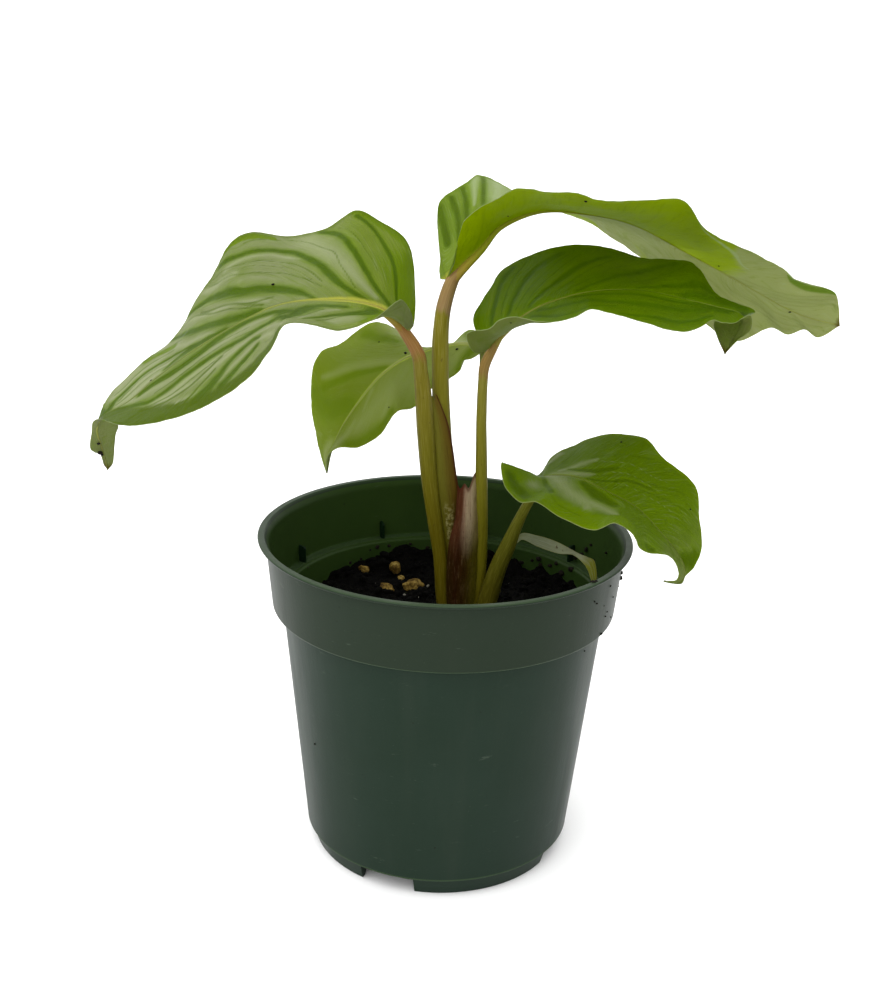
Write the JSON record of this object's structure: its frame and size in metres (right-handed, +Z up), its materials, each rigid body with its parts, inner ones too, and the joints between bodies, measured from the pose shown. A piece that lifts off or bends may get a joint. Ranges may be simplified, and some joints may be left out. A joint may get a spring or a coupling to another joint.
{
  "type": "potted foliage plant",
  "caption": "Potted calathea orbifolia: broad striped leaves on fleshy stalks in dark soil, in a round tapered nursery pot with a banded rim.",
  "frame": {"origin": "on the pot's axis, at the bottom of its foot, where it stands", "axes": "+Z up, out of the pot; +X to the right, along the longest reach of the leaves; +Y away from the viewer"},
  "size_m": [0.3242, 0.165, 0.3014],
  "materials": {
    "pot_plastic": "satin moulded polypropylene, lightly scuffed",
    "soil": "damp fine potting mix of peat and bark, matt",
    "rootstock": "rough fleshy rootstock",
    "blade_left": "satin leaf, silvery bands between green ones",
    "blade_top_right": "satin leaf, pale matt underside",
    "blade_middle_right": "satin dark leaf",
    "blade_back_left": "satin leaf",
    "blade_lower_right": "glossy young leaf",
    "stalk": "smooth fleshy stalk, brownish pink near the blade",
    "sheath_olive": "thin dry sheath",
    "sheath_papery": "torn papery sheath",
    "withered_leaf": "limp withered leaf"
  },
  "bodies": {
    "root": {"pot": "pot_plastic", "soil": "soil", "rootstock": "rootstock", "blade_left": "blade_left", "blade_top_right": "blade_top_right", "blade_middle_right": "blade_middle_right", "blade_back_left": "blade_back_left", "blade_lower_right": "blade_lower_right", "stalk_left": "stalk", "stalk_top_right": "stalk", "stalk_middle_right": "stalk", "stalk_back_left": "stalk", "stalk_lower_right": "stalk", "sheath_left": "sheath_olive", "sheath_papery": "sheath_papery", "withered_leaf": "withered_leaf"}
  },
  "joints": []
}
